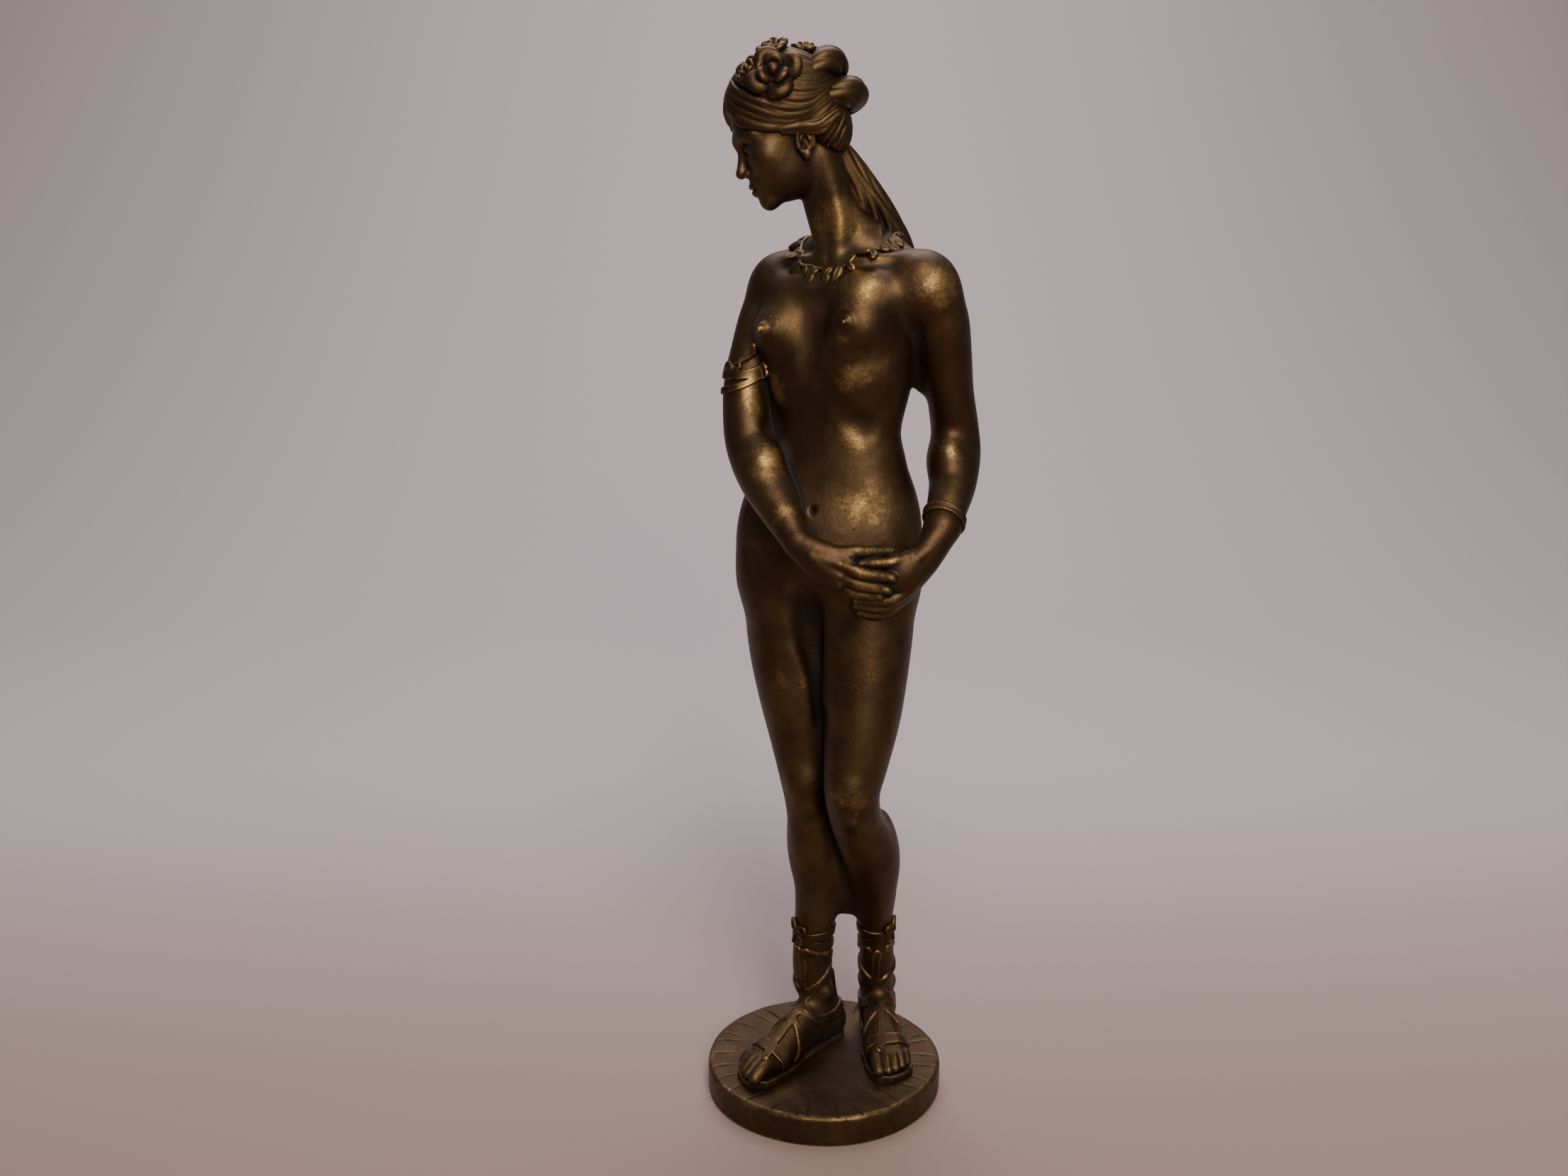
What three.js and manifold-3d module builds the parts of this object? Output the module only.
// Bronze statuette: a standing classical figure with clasped hands on a round plinth.
// It is built as sectional castings are: butt joints on dowels, most of them hidden under the
// necklace, the armlet, the bracelet and the ankle ties, and two screws up through the plinth.
// Millimetres, +Z up. The origin is the centre of the plinth's underside; -Y is the front.
import * as THREE from "three";
import { mergeVertices } from "three/addons/utils/BufferGeometryUtils.js";
import Module from "manifold-3d";

const wasm = await Module();
wasm.setup();

// ---------------------------------------------------------------- driving dimensions
const PLINTH_RIM = 3.4; // from the furthest toe to the plinth's rim
const PLINTH_THICKNESS = 6.5;
const PLINTH_EDGE = 0.8; // bevel round the top and bottom edges
const FIGURE_HEIGHT = 206.5; // soles to the topmost flower
const JOINT_GAP = 0.3; // the brazing gap between two castings
const DOWEL_DIAMETER = 2.4;
const DOWEL_LENGTH = 9;
const WRIST_DOWEL_DIAMETER = 1.8;
const WRIST_DOWEL_LENGTH = 6;
const SCREW_DIAMETER = 2.5;
const SCREW_REACH = 5.5; // how far the screw enters the foot
const SCREW_HEAD_DIAMETER = 4.5;
const SCREW_HEAD_HEIGHT = 1.7;
const WASHER_DIAMETER = 5;
const WASHER_THICKNESS = 0.5;
const SLOT_WIDTH = 0.7;
const SLOT_DEPTH = 0.8;
const BAND_THICKNESS = 1.1; // armlet, bracelet and ankle ties

// The figure is drawn at this height and scaled to FIGURE_HEIGHT.
const DRAWN_HEIGHT = 206.5;
const STANCE_REACH = 21.6; // from the plinth's centre to the furthest toe, as drawn
const FIGURE_SCALE = FIGURE_HEIGHT / DRAWN_HEIGHT;
const drawn = (size) => size / FIGURE_SCALE;
const GAP = drawn(JOINT_GAP);
const BAND_DRAWN = drawn(BAND_THICKNESS);
const BODY_TURN = THREE.MathUtils.degToRad(28); // the chest faces front, turned to her right
const HEAD_TURN = THREE.MathUtils.degToRad(80);
const HEAD_BOW = THREE.MathUtils.degToRad(25);

const SIDES = 14; // facets round a limb
const STEPS = 1; // facets between two stations of a limb

// ---------------------------------------------------------------- solids
function solidOf(geometry) {
  const bare = new THREE.BufferGeometry();
  bare.setAttribute("position", geometry.getAttribute("position"));
  if (geometry.index) bare.setIndex(geometry.index);
  const merged = mergeVertices(bare, 1e-4);
  return new wasm.Manifold(
    new wasm.Mesh({
      numProp: 3,
      vertProperties: merged.attributes.position.array,
      triVerts: new Uint32Array(merged.index.array),
    }),
  );
}

function geometryOf(solid) {
  const mesh = solid.getMesh();
  const geometry = new THREE.BufferGeometry();
  geometry.setAttribute("position", new THREE.BufferAttribute(mesh.vertProperties, 3));
  geometry.setIndex(new THREE.BufferAttribute(mesh.triVerts, 1));
  geometry.computeVertexNormals();
  return geometry;
}

const joined = (solids) => solids.reduce((whole, next) => whole.add(next));
const vector = (p) => new THREE.Vector3(...p);

// Joins forms into one form. A form is a function that gives its solid, grown by a clearance.
const form = (...forms) => (grow = 0) => joined(forms.map((each) => each(grow)));

// The figure's own directions on the ground: her left hand side, and ahead of her chest.
const LEFT = new THREE.Vector3(Math.cos(BODY_TURN), -Math.sin(BODY_TURN), 0);
const AHEAD = new THREE.Vector3(-Math.sin(BODY_TURN), -Math.cos(BODY_TURN), 0);
const UP = new THREE.Vector3(0, 0, 1);

// A limb: a closed tube with oval sections square to its path.
// Each station is [x, y, z, half width along `side`, half depth].
function limb(stations, side = LEFT, sides = SIDES, steps = STEPS) {
  return (grow = 0) => {
    const path = new THREE.CatmullRomCurve3(
      stations.map((s) => new THREE.Vector3(s[0], s[1], s[2])),
      false,
      "catmullrom",
    );
    const sizes = new THREE.CatmullRomCurve3(
      stations.map((s) => new THREE.Vector3(s[3] + grow, s[4] + grow, 0)),
      false,
      "catmullrom",
    );
    const rings = (stations.length - 1) * steps;
    const corners = [];
    for (let r = 0; r <= rings; r++) {
      const t = r / rings;
      const centre = path.getPoint(t);
      const along = path.getTangent(t);
      const across = side.clone().addScaledVector(along, -side.dot(along)).normalize();
      const deep = new THREE.Vector3().crossVectors(along, across);
      const size = sizes.getPoint(t);
      if (r === 0) centre.addScaledVector(along, -grow);
      if (r === rings) centre.addScaledVector(along, grow);
      for (let k = 0; k < sides; k++) {
        const turn = (k / sides) * 2 * Math.PI;
        const corner = centre.clone();
        corner.addScaledVector(across, Math.cos(turn) * size.x);
        corner.addScaledVector(deep, Math.sin(turn) * size.y);
        corners.push(corner.x, corner.y, corner.z);
      }
    }
    const index = [];
    for (let r = 0; r < rings; r++)
      for (let k = 0; k < sides; k++) {
        const next = (k + 1) % sides;
        const [a, b] = [r * sides + k, r * sides + next];
        const [c, d] = [a + sides, b + sides];
        index.push(a, b, d, a, d, c);
      }
    for (let k = 1; k < sides - 1; k++) {
      index.push(0, k + 1, k);
      index.push(rings * sides, rings * sides + k, rings * sides + k + 1);
    }
    const geometry = new THREE.BufferGeometry();
    geometry.setAttribute("position", new THREE.Float32BufferAttribute(corners, 3));
    geometry.setIndex(index);
    return solidOf(geometry);
  };
}

// A frame turned to her right about Z and bowed forward: x is her left, y behind her, z up.
function facing(turn, bow = 0) {
  const bowed = new THREE.Matrix4().makeRotationX(bow);
  return new THREE.Matrix4().makeRotationZ(-turn).multiply(bowed);
}
const BODY = facing(BODY_TURN);
const HEAD = facing(HEAD_TURN, HEAD_BOW);

// An oval mass: radii along her left, ahead of her and up, in the body's frame or the head's.
function mass(centre, radii, frame = BODY, around = 10, down = 6) {
  return (grow = 0) => {
    const ball = new THREE.SphereGeometry(1, around, down);
    const turned = new THREE.Quaternion().setFromRotationMatrix(frame);
    const size = vector(radii.map((r) => r + grow));
    ball.applyMatrix4(new THREE.Matrix4().compose(vector(centre), turned, size));
    return solidOf(ball);
  };
}

// A finger or toe: a thin limb with rounded ends through a few knuckles.
function digit(points, radius, side = LEFT) {
  const knuckles = points.map((p, i) => {
    const thin = i === points.length - 1 ? 0.72 : 1 - 0.06 * i;
    return [...p, radius * thin, radius * thin];
  });
  return limb(knuckles, side, 6, 1);
}

function rod(from, to, radius, sides = 16) {
  const axis = new THREE.Vector3().subVectors(to, from);
  const cylinder = new THREE.CylinderGeometry(radius, radius, axis.length(), sides);
  const upright = new THREE.Vector3(0, 1, 0);
  const turned = new THREE.Quaternion().setFromUnitVectors(upright, axis.clone().normalize());
  const middle = new THREE.Vector3().addVectors(from, to).multiplyScalar(0.5);
  const unit = new THREE.Vector3(1, 1, 1);
  cylinder.applyMatrix4(new THREE.Matrix4().compose(middle, turned, unit));
  return solidOf(cylinder);
}

// ---------------------------------------------------------------- anatomy
// Heights are above the soles.
const trunk = limb([
  [0.6, -0.6, 96.0, 12.0, 8.0],
  [0.3, -0.2, 103.5, 18.4, 11.6],
  [0.2, 0.3, 110.5, 18.9, 11.8],
  [0.9, 0.0, 117.5, 17.7, 11.0],
  [1.8, -0.3, 125.5, 14.4, 9.7],
  [2.0, -0.2, 133.5, 12.7, 9.0],
  [2.9, 0.0, 141.5, 13.2, 9.3],
  [3.7, 0.3, 149.5, 14.3, 9.9],
  [4.2, 0.8, 156.5, 14.6, 9.6],
  [4.4, 1.3, 162.5, 14.6, 8.0],
  [4.0, 1.0, 166.8, 11.6, 6.0],
  [3.2, 0.4, 170.4, 6.2, 4.6],
]);
const bust = form(
  mass([-6.8, -3.8, 153.8], [5.4, 5.0, 5.4]),
  mass([3.6, -9.4, 153.8], [5.4, 5.0, 5.4]),
);
const seat = form(
  mass([-3.4, 8.0, 103.0], [8.6, 6.8, 9.0]),
  mass([10.0, 3.4, 102.0], [8.6, 6.8, 9.0]),
);
const shoulders = form(
  mass([17.4, -5.8, 161.4], [6.4, 6.0, 6.2]),
  mass([-9.0, 6.8, 161.2], [6.2, 6.0, 6.0]),
);
const neck = limb([
  [3.4, 0.8, 163.0, 6.2, 5.4],
  [2.4, 0.0, 169.0, 5.0, 5.0],
  [0.2, -1.6, 176.5, 4.7, 4.7],
  [-2.4, -3.2, 184.0, 4.9, 5.0],
  [-4.4, -3.8, 190.0, 5.0, 5.2],
]);
const leftArm = limb([
  [16.6, -6.6, 163.5, 4.2, 4.4],
  [18.6, -6.4, 161.0, 5.5, 5.6],
  [20.8, -5.0, 155.5, 5.4, 5.6],
  [22.4, -3.2, 149.0, 5.1, 5.3],
  [23.6, -1.0, 141.5, 4.9, 5.2],
  [25.0, 1.4, 134.0, 5.0, 5.2],
  [25.0, 0.2, 128.5, 4.9, 4.9],
  [24.2, -5.0, 124.0, 4.6, 4.6],
  [22.8, -10.6, 120.5, 4.0, 4.0],
  [20.8, -15.4, 116.4, 3.3, 3.3],
]);
const rightArm = limb([
  [-7.4, 7.4, 163.5, 4.2, 4.4],
  [-9.6, 7.4, 161.0, 5.4, 5.4],
  [-12.2, 6.8, 155.5, 5.3, 5.4],
  [-14.4, 5.6, 149.0, 4.8, 4.9],
  [-16.0, 4.2, 142.5, 4.5, 4.7],
  [-16.0, 2.8, 136.0, 4.9, 5.1],
  [-14.8, 0.4, 130.5, 5.2, 5.2],
  [-12.4, -5.0, 125.0, 5.0, 4.9],
  [-9.0, -11.4, 119.2, 4.2, 4.1],
  [-5.4, -17.0, 113.6, 3.1, 3.1],
]);
const rightPalm = limb(
  [
    [-5.4, -16.6, 113.6, 3.1, 3.1],
    [-2.6, -18.2, 111.6, 3.8, 2.7],
    [0.8, -19.4, 110.2, 4.3, 2.3],
    [3.8, -19.8, 109.2, 4.1, 1.9],
  ],
  UP,
);
const leftPalm = limb(
  [
    [20.8, -13.8, 116.4, 3.2, 3.2],
    [18.6, -15.2, 113.2, 3.8, 2.6],
    [15.6, -15.8, 110.0, 4.3, 2.2],
    [12.6, -15.8, 107.4, 4.1, 1.9],
  ],
  UP,
);
const rightFingers = form(
  digit([[1.2, -19.8, 112.8], [5.4, -20.6, 113.0], [9.6, -20.0, 112.6]], 1.3),
  digit([[3.0, -20.0, 110.8], [7.4, -21.0, 109.8], [11.6, -20.0, 108.8]], 1.3),
  digit([[3.2, -20.0, 108.6], [7.4, -20.8, 107.2], [11.0, -20.0, 106.2]], 1.25),
  digit([[2.6, -19.6, 106.8], [6.4, -20.2, 105.0], [9.6, -19.6, 104.0]], 1.1),
);
const leftFingers = form(
  digit([[14.0, -16.6, 111.0], [10.4, -17.2, 110.6], [6.8, -16.8, 110.6]], 1.2),
  digit([[15.0, -15.8, 108.2], [9.0, -16.6, 103.0], [6.4, -16.4, 101.6]], 1.25),
  digit([[15.2, -15.6, 106.8], [11.0, -16.2, 101.4], [8.8, -16.2, 99.8]], 1.15),
);
const rightLegForm = limb([
  [-7.6, 3.6, 102.0, 9.6, 10.6],
  [-6.6, 2.8, 91.5, 9.3, 10.3],
  [-5.6, 2.0, 81.5, 8.3, 9.1],
  [-4.6, 1.4, 71.5, 6.9, 7.6],
  [-3.7, 1.2, 62.5, 5.9, 6.3],
  [-2.9, 1.9, 55.5, 5.5, 5.9],
  [-1.8, 3.4, 45.5, 5.7, 6.5],
  [-1.5, 4.4, 35.5, 4.8, 5.3],
  [-1.6, 5.0, 26.0, 3.8, 4.2],
  [-1.4, 5.6, 17.5, 3.5, 3.9],
  [-0.8, 5.8, 9.0, 3.9, 4.4],
]);
const leftLegForm = limb([
  [8.2, -4.6, 102.0, 9.4, 10.2],
  [8.0, -5.8, 93.5, 8.9, 9.6],
  [7.2, -7.8, 79.5, 7.6, 8.4],
  [5.9, -9.2, 69.5, 6.5, 7.2],
  [5.0, -9.4, 62.5, 5.9, 6.6],
  [6.2, -7.0, 55.5, 5.6, 6.1],
  [9.2, -2.8, 47.0, 5.9, 6.5],
  [10.4, 1.6, 37.5, 5.0, 5.5],
  [10.8, 5.2, 28.0, 3.9, 4.2],
  [11.0, 8.2, 19.0, 3.5, 3.7],
  [11.2, 10.8, 9.5, 3.8, 4.3],
]);
const legWeb = limb([
  [3.2, -1.6, 66.0, 2.6, 2.6],
  [3.6, 0.2, 52.0, 3.2, 2.2],
  [4.6, 3.4, 34.0, 2.6, 1.8],
]);

// A foot from heel to toe with a flat sole: share of its length, half width, height.
const FOOT_SECTIONS = [
  [0.0, 2.4, 5.0],
  [0.08, 3.3, 7.6],
  [0.22, 3.7, 9.8],
  [0.38, 3.7, 9.2],
  [0.56, 4.2, 6.8],
  [0.72, 4.8, 4.9],
  [0.86, 4.7, 3.8],
  [0.96, 4.0, 3.1],
  [1.0, 3.0, 2.4],
];
function foot(heel, toe) {
  const along = new THREE.Vector3().subVectors(toe, heel);
  const side = new THREE.Vector3().crossVectors(along, UP).normalize();
  const stations = FOOT_SECTIONS.map(([share, half, height]) => {
    const at = heel.clone().addScaledVector(along, share);
    return [at.x, at.y, height / 2, half, height / 2];
  });
  return limb(stations, side, SIDES, 1);
}
// The foot with its sandal strap, its sole flat on the plinth.
// A strap is the foot a little grown, between two shares of its length.
const STRAPS = [[0.42, 0.54]];
const STRAP_THICKNESS = 0.55;
function sandalled(heel, toe) {
  const bare = foot(heel, toe);
  const along = new THREE.Vector3().subVectors(toe, heel);
  const ahead = along.clone().normalize();
  const strap = ([from, to]) => (grow = 0) => {
    const start = ahead.dot(heel) + from * along.length();
    const end = ahead.dot(heel) + to * along.length();
    return bare(STRAP_THICKNESS + grow)
      .trimByPlane(ahead.toArray(), start - grow)
      .trimByPlane(ahead.clone().negate().toArray(), -end - grow);
  };
  const whole = form(bare, ...STRAPS.map(strap));
  return (grow = 0) => whole(grow).trimByPlane([0, 0, 1], -grow);
}
const RIGHT_HEEL = new THREE.Vector3(3.3, 9.5, 0);
const RIGHT_TOE = new THREE.Vector3(-16.9, -9.2, 0);
const LEFT_HEEL = new THREE.Vector3(11.0, 16.8, 0);
const LEFT_TOE = new THREE.Vector3(13.2, -9.0, 0);
const rightFootForm = sandalled(RIGHT_HEEL, RIGHT_TOE);
const leftFootForm = sandalled(LEFT_HEEL, LEFT_TOE);

// ---------------------------------------------------------------- head and hair
const HEAD_CENTRE = new THREE.Vector3(-8.9, -4.7, 190.5);
const inHead = (left, ahead, up) => {
  const p = new THREE.Vector3(left, -ahead, up).applyMatrix4(HEAD).add(HEAD_CENTRE);
  return [p.x, p.y, p.z];
};
const headMass = (left, ahead, up, radii, around, down) =>
  mass(inHead(left, ahead, up), radii, HEAD, around, down);

const headForm = form(
  headMass(0, -1.6, 2.2, [7.4, 10.2, 9.4], 16, 11),
  headMass(0, 3.8, -4.4, [5.9, 6.2, 8.8], 14, 10),
  headMass(0, 7.6, -10.8, [2.8, 2.4, 2.4], 8, 6),
  headMass(0, 9.6, -3.6, [1.1, 1.7, 2.3], 6, 5),
);
const hairForm = form(
  headMass(0, -2.6, 3.6, [8.2, 10.8, 8.8], 16, 11),
  headMass(0, -7.6, -3.0, [6.4, 5.2, 6.4], 12, 8),
);
const chignonForm = form(
  headMass(0.6, -12.0, 5.0, [4.0, 3.4, 3.8], 10, 7),
  headMass(0.2, -13.2, -0.6, [4.2, 3.2, 4.2], 10, 7),
  headMass(0.4, -9.6, 8.6, [4.0, 3.2, 2.6], 10, 7),
);

// A flower: a petalled rosette facing outwards, its back sunk to where the hair is cut away.
const FLOWER_DEPTH = 3.4;
function flower(centre, facingOut, radius, petals) {
  return (grow = 0) => {
    const outline = new THREE.Shape();
    for (let k = 0; k < petals * 4; k++) {
      const turn = (k / (petals * 4)) * 2 * Math.PI;
      const reach = radius * (k % 4 === 0 ? 0.74 : 1) + grow;
      const [x, y] = [Math.cos(turn) * reach, Math.sin(turn) * reach];
      if (k === 0) outline.moveTo(x, y);
      else outline.lineTo(x, y);
    }
    const depth = FLOWER_DEPTH + 2 * grow;
    const rosette = new THREE.ExtrudeGeometry(outline, { depth, bevelEnabled: false });
    rosette.translate(0, 0, -depth / 2);
    const towards = vector(facingOut).normalize();
    const turned = new THREE.Quaternion().setFromUnitVectors(new THREE.Vector3(0, 0, 1), towards);
    rosette.applyQuaternion(turned);
    rosette.translate(...inHead(...centre));
    return solidOf(rosette);
  };
}
const sideFlowerForm = flower([7.9, -1.4, 5.2], [-0.35, -1, 0.2], 3.9, 5);
const crownFlowerForm = flower([6.2, -5.2, 9.4], [0, -0.8, 0.8], 3.1, 5);
const browFlowerForm = flower([3.4, -0.6, 11.6], [-0.3, -0.5, 0.8], 2.6, 5);
const topFlowerForm = flower([1.4, -10.2, 10.6], [0.1, -0.4, 1], 2.4, 5);

const shoulderLock = limb([
  [2.6, 0.4, 184.0, 3.0, 2.2],
  [6.6, 3.0, 177.0, 3.4, 2.6],
  [11.2, 4.8, 170.6, 3.8, 2.6],
  [15.2, 5.2, 164.6, 3.0, 2.2],
  [17.4, 5.6, 157.5, 1.8, 1.4],
]);

// ---------------------------------------------------------------- joints
// A joint is the plane where two castings meet: a point on it and the way across it, from the
// torso outwards.
const joint = (point, across) => ({ point: vector(point), across: vector(across).normalize() });
const NECK = joint([2.6, -0.2, 168.6], [-0.18, -0.34, 1]);
const RIGHT_ARM = joint([-15.6, 4.6, 144.0], [-0.2, -0.2, -1]);
const LEFT_ARM = joint([22.9, -2.2, 146.5], [0.18, 0.3, -1]);
const LEFT_WRIST = joint([21.9, -12.4, 118.9], [-0.3, -0.76, -0.6]);
const RIGHT_HIP = joint([-6.7, 2.9, 92.5], [0, 0, -1]);
const LEFT_HIP = joint([8.0, -5.9, 92.5], [0, 0, -1]);
const RIGHT_ANKLE = joint([-1.6, 5.0, 25.5], [0, 0, -1]);
const LEFT_ANKLE = joint([10.9, 5.9, 26.0], [0, 0.2, -1]);

// What lies past the joint. Growing the form brings the cut back with it.
const past = (shape, { point, across }) => (grow = 0) =>
  shape(grow).trimByPlane(across.toArray(), across.dot(point) - grow);
// What lies before the joint, clear of what lies past it.
const before = (shape, { point, across }) => (grow = 0) => {
  const back = across.clone().negate();
  return shape(grow).trimByPlane(back.toArray(), back.dot(point) + GAP - grow);
};
// A form clear of others by the gap.
const cutClear = (shape, ...others) => (grow = 0) =>
  others.reduce((left, other) => left.subtract(other(GAP - grow)), shape(grow));

// A dowel across a joint. Grown, it is the hole that takes it.
const dowel = ({ point, across }, diameter, length) => (grow = 0) => {
  const half = across.clone().multiplyScalar(drawn(length) / 2 + grow);
  const from = point.clone().sub(half);
  return rod(from, point.clone().add(half), drawn(diameter) / 2 + grow, 12);
};
const DOWELS = {
  neck_dowel: dowel(NECK, DOWEL_DIAMETER, DOWEL_LENGTH),
  right_arm_dowel: dowel(RIGHT_ARM, DOWEL_DIAMETER, DOWEL_LENGTH),
  left_arm_dowel: dowel(LEFT_ARM, DOWEL_DIAMETER, DOWEL_LENGTH),
  left_wrist_dowel: dowel(LEFT_WRIST, WRIST_DOWEL_DIAMETER, WRIST_DOWEL_LENGTH),
  right_hip_dowel: dowel(RIGHT_HIP, DOWEL_DIAMETER, DOWEL_LENGTH),
  left_hip_dowel: dowel(LEFT_HIP, DOWEL_DIAMETER, DOWEL_LENGTH),
  right_ankle_dowel: dowel(RIGHT_ANKLE, DOWEL_DIAMETER, DOWEL_LENGTH),
  left_ankle_dowel: dowel(LEFT_ANKLE, DOWEL_DIAMETER, DOWEL_LENGTH),
};

// ---------------------------------------------------------------- castings
const headCasting = form(headForm, past(neck, NECK));
const torsoWhole = form(
  trunk,
  bust,
  shoulders,
  seat,
  before(neck, NECK),
  before(rightArm, RIGHT_ARM),
  before(leftArm, LEFT_ARM),
  before(rightLegForm, RIGHT_HIP),
  before(leftLegForm, LEFT_HIP),
);
const torsoCasting = cutClear(torsoWhole, headCasting);
const hairCasting = cutClear(hairForm, headForm, neck);
const chignonCasting = cutClear(chignonForm, headForm, hairForm);
const rightArmCasting = cutClear(
  form(past(rightArm, RIGHT_ARM), rightPalm, rightFingers),
  torsoWhole,
);
const leftArmCasting = cutClear(before(past(leftArm, LEFT_ARM), LEFT_WRIST), torsoWhole);
const leftHandCasting = cutClear(
  form(past(leftArm, LEFT_WRIST), leftPalm, leftFingers),
  torsoWhole,
  rightArmCasting,
);
const rightLegCasting = cutClear(
  before(past(form(rightLegForm, legWeb), RIGHT_HIP), RIGHT_ANKLE),
  torsoWhole,
);
const leftLegCasting = cutClear(
  before(past(leftLegForm, LEFT_HIP), LEFT_ANKLE),
  torsoWhole,
  form(rightLegForm, legWeb),
);
const rightFootCasting = form(past(rightLegForm, RIGHT_ANKLE), rightFootForm);
const leftFootCasting = form(past(leftLegForm, LEFT_ANKLE), leftFootForm);

// ---------------------------------------------------------------- ornaments
// A band lies round a limb over its joint, with a knot of small masses on one side.
function band(shape, { point, across }, width, knot) {
  return (grow = 0) => {
    const outer = shape(BAND_DRAWN + GAP + grow);
    const middle = across.dot(point) - GAP / 2;
    const reach = width / 2 + grow;
    const back = across.clone().negate().toArray();
    const ring = outer
      .trimByPlane(across.toArray(), middle - reach)
      .trimByPlane(back, -middle - reach);
    return ring.add(knot(grow)).subtract(shape(GAP - grow));
  };
}
// A bow: a knot and two loops, on the side of the limb that `out` faces.
function bow({ point, across }, out, reach, size) {
  const centre = point.clone().addScaledVector(out, reach);
  const level = new THREE.Vector3().crossVectors(out, across).normalize();
  const place = (sideways, down) =>
    centre.clone().addScaledVector(level, sideways * size).addScaledVector(across, down * size);
  const at = (sideways, down, radii) =>
    mass(place(sideways, down).toArray(), radii.map((r) => r * size), BODY, 7, 5);
  return form(
    at(0, 0, [0.6, 0.6, 0.7]),
    at(0.85, 0.1, [0.6, 0.6, 0.7]),
    at(-0.85, 0.1, [0.6, 0.6, 0.7]),
  );
}
const RIGHT = LEFT.clone().negate();
const armletForm = cutClear(
  band(rightArm, RIGHT_ARM, 4.2, bow(RIGHT_ARM, RIGHT, 5.4, 2.3)),
  trunk,
);
const braceletForm = cutClear(
  band(leftArm, LEFT_WRIST, 3.2, bow(LEFT_WRIST, LEFT, 4.4, 0.9)),
  leftHandCasting,
);
const rightTieForm = band(rightLegForm, RIGHT_ANKLE, 3.0, bow(RIGHT_ANKLE, RIGHT, 4.6, 1.7));
const leftTieForm = band(leftLegForm, LEFT_ANKLE, 3.0, bow(LEFT_ANKLE, LEFT, 4.6, 1.7));

// The collar: a leaf-edged sheet that lies on the shoulders and round the foot of the neck.
const COLLAR_LEAVES = 9;
const COLLAR_REACH = 12.6; // to a leaf's tip, sideways
const COLLAR_NOTCH = 9.4; // to the notch between two leaves
const COLLAR_DEEP = 0.8; // the reach forwards as a share of that sideways
const COLLAR_TOP = 171.0;
const COLLAR_DROP = 10.5;
const collar = (grow = 0) => {
  const outline = new THREE.Shape();
  for (let k = 0; k < COLLAR_LEAVES * 2; k++) {
    const turn = (k / (COLLAR_LEAVES * 2)) * 2 * Math.PI;
    const reach = (k % 2 === 0 ? COLLAR_NOTCH : COLLAR_REACH) + grow;
    const [x, y] = [Math.cos(turn) * reach, Math.sin(turn) * reach * COLLAR_DEEP];
    if (k === 0) outline.moveTo(x, y);
    else outline.lineTo(x, y);
  }
  const depth = COLLAR_DROP + grow;
  const drape = new THREE.ExtrudeGeometry(outline, { depth, bevelEnabled: false });
  drape.applyMatrix4(BODY);
  drape.translate(NECK.point.x, NECK.point.y, COLLAR_TOP - COLLAR_DROP);
  const lying = form(trunk, neck);
  return solidOf(drape).intersect(lying(BAND_DRAWN + GAP + grow)).subtract(lying(GAP - grow));
};
const lockCasting = cutClear(shoulderLock, torsoWhole, headCasting, hairForm, chignonForm);
const necklaceCasting = cutClear(collar, shoulders, shoulderLock);
const sideFlowerCasting = cutClear(sideFlowerForm, headForm, hairForm);
const crownFlowerCasting = cutClear(crownFlowerForm, hairForm, chignonForm, sideFlowerForm);
const browFlowerCasting = cutClear(
  browFlowerForm,
  headForm,
  hairForm,
  sideFlowerForm,
  crownFlowerForm,
);
const topFlowerCasting = cutClear(topFlowerForm, hairForm, chignonForm, crownFlowerForm);

// ---------------------------------------------------------------- plinth and fixings
const LIFT = PLINTH_THICKNESS + JOINT_GAP;
const PLINTH_RADIUS = STANCE_REACH * FIGURE_SCALE + PLINTH_RIM;
const HEAD_RECESS = 0.4;
const COUNTERBORE = HEAD_RECESS + SCREW_HEAD_HEIGHT + WASHER_THICKNESS + 2 * JOINT_GAP;
// The screws stand under the thick of each instep.
const screwUnder = (heel, toe) =>
  heel.clone().lerp(toe, 0.26).multiplyScalar(FIGURE_SCALE);
const SCREWS = {
  right: screwUnder(RIGHT_HEEL, RIGHT_TOE),
  left: screwUnder(LEFT_HEEL, LEFT_TOE),
};
const upright = (at, from, to, diameter, sides = 24) =>
  rod(new THREE.Vector3(at.x, at.y, from), new THREE.Vector3(at.x, at.y, to), diameter / 2, sides);

const screwTop = LIFT + SCREW_REACH;
const screwHole = (at) =>
  upright(at, -1, screwTop + JOINT_GAP, SCREW_DIAMETER + 2 * JOINT_GAP, 16);
// The same hole in the figure's own measure, above its soles.
const soleHole = (at) => {
  const under = at.clone().divideScalar(FIGURE_SCALE);
  const reach = drawn(SCREW_REACH + JOINT_GAP);
  return upright(under, -2, reach, drawn(SCREW_DIAMETER + 2 * JOINT_GAP), 16);
};
const screwSeat = (at) =>
  upright(at, -1, COUNTERBORE, Math.max(SCREW_HEAD_DIAMETER, WASHER_DIAMETER) + 2 * JOINT_GAP);

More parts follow.
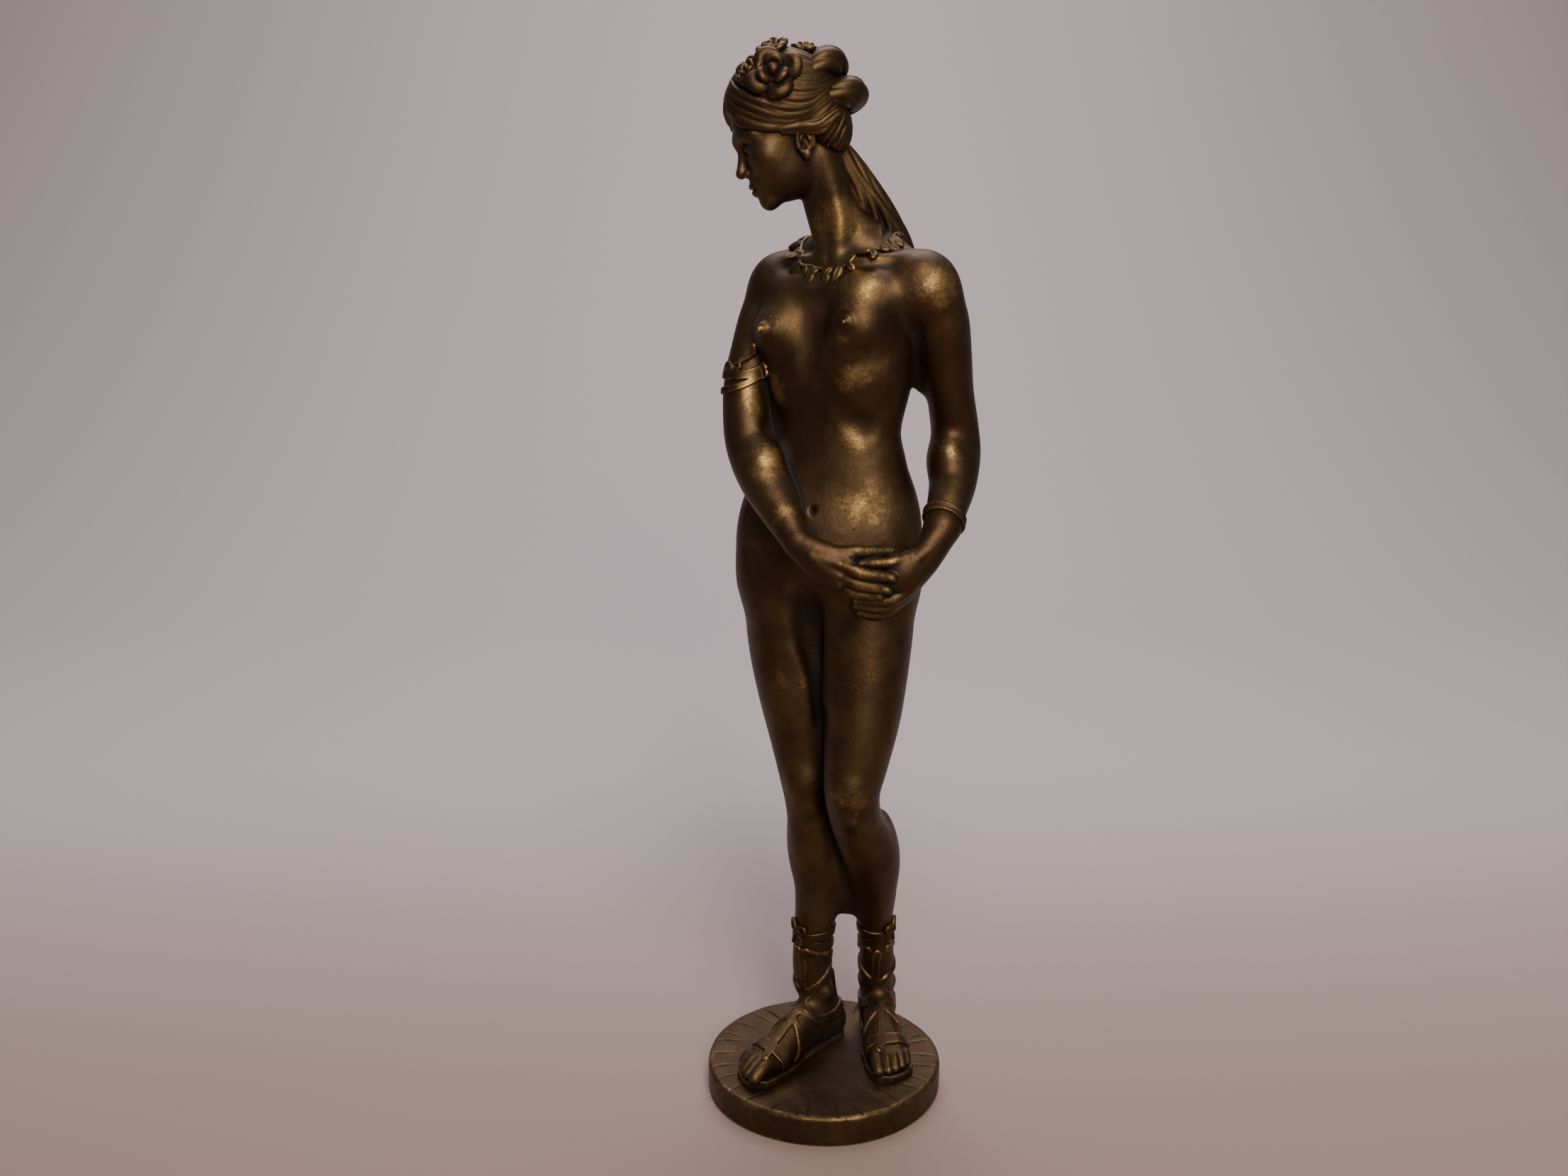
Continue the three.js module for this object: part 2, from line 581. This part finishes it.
function plinth() {
  const [radius, thick, edge] = [PLINTH_RADIUS, PLINTH_THICKNESS, PLINTH_EDGE];
  const outline = [
    [0, 0],
    [radius - edge, 0],
    [radius, edge],
    [radius, thick - edge],
    [radius - edge * 0.3, thick - edge * 0.3],
    [radius - edge, thick],
    [0, thick],
  ];
  const profile = outline.map(([r, z]) => new THREE.Vector2(r, z));
  const disc = new THREE.LatheGeometry(profile, 60);
  disc.rotateX(Math.PI / 2);
  let solid = solidOf(disc);
  for (const at of Object.values(SCREWS)) {
    solid = solid.subtract(screwHole(at)).subtract(screwSeat(at));
  }
  return solid;
}

function screw(at) {
  const headTop = HEAD_RECESS + SCREW_HEAD_HEIGHT;
  const head = upright(at, HEAD_RECESS, headTop, SCREW_HEAD_DIAMETER);
  const shank = upright(at, headTop - SLOT_DEPTH / 2, screwTop, SCREW_DIAMETER, 16);
  const slot = new THREE.BoxGeometry(SCREW_HEAD_DIAMETER * 1.2, SLOT_WIDTH, SLOT_DEPTH * 2);
  slot.translate(at.x, at.y, HEAD_RECESS);
  return head.add(shank).subtract(solidOf(slot));
}

function washer(at) {
  const low = HEAD_RECESS + SCREW_HEAD_HEIGHT + JOINT_GAP;
  const high = low + WASHER_THICKNESS;
  const hole = upright(at, low - 1, high + 1, SCREW_DIAMETER + 2 * JOINT_GAP, 16);
  return upright(at, low, high, WASHER_DIAMETER).subtract(hole);
}

// ---------------------------------------------------------------- assembly
const agedBronze = new THREE.MeshStandardMaterial({
  name: "aged_bronze",
  color: 0x4a3520,
  metalness: 1,
  roughness: 0.45,
});
const rubbedBronze = new THREE.MeshStandardMaterial({
  name: "rubbed_bronze",
  color: 0x8a6a2e,
  metalness: 1,
  roughness: 0.35,
});
const brass = new THREE.MeshStandardMaterial({
  name: "brass_fixing",
  color: 0xa8843c,
  metalness: 1,
  roughness: 0.3,
});

const group = new THREE.Group();
group.name = "bronze_statuette";
const figure = new THREE.Group();
figure.name = "figure";
figure.position.z = LIFT;
figure.scale.setScalar(FIGURE_SCALE);
group.add(figure);
function place(parent, name, solid, material) {
  const mesh = new THREE.Mesh(geometryOf(solid), material);
  mesh.name = name;
  parent.add(mesh);
}

const CASTINGS = {
  torso: torsoCasting,
  head: headCasting,
  right_arm: rightArmCasting,
  left_arm: leftArmCasting,
  left_hand: leftHandCasting,
  right_leg: rightLegCasting,
  left_leg: leftLegCasting,
  right_foot: rightFootCasting,
  left_foot: leftFootCasting,
};
const ORNAMENTS = {
  hair: hairCasting,
  chignon: chignonCasting,
  shoulder_lock: lockCasting,
  flower_side: sideFlowerCasting,
  flower_crown: crownFlowerCasting,
  flower_brow: browFlowerCasting,
  flower_top: topFlowerCasting,
  necklace: necklaceCasting,
  armlet: armletForm,
  bracelet: braceletForm,
  right_ankle_tie: rightTieForm,
  left_ankle_tie: leftTieForm,
};

const dowelHoles = joined(Object.values(DOWELS).map((each) => each(GAP)));
const screwHoles = joined(Object.values(SCREWS).map(soleHole));
place(group, "plinth", plinth(), agedBronze);
for (const [name, casting] of Object.entries(CASTINGS)) {
  place(figure, name, casting().subtract(dowelHoles).subtract(screwHoles), agedBronze);
}
for (const [name, ornament] of Object.entries(ORNAMENTS)) {
  place(figure, name, ornament(), rubbedBronze);
}
for (const [name, pin] of Object.entries(DOWELS)) {
  place(figure, name, pin(), brass);
}
for (const [side, at] of Object.entries(SCREWS)) {
  place(group, `${side}_foot_screw`, screw(at), brass);
  place(group, `${side}_foot_washer`, washer(at), brass);
}

export default group;
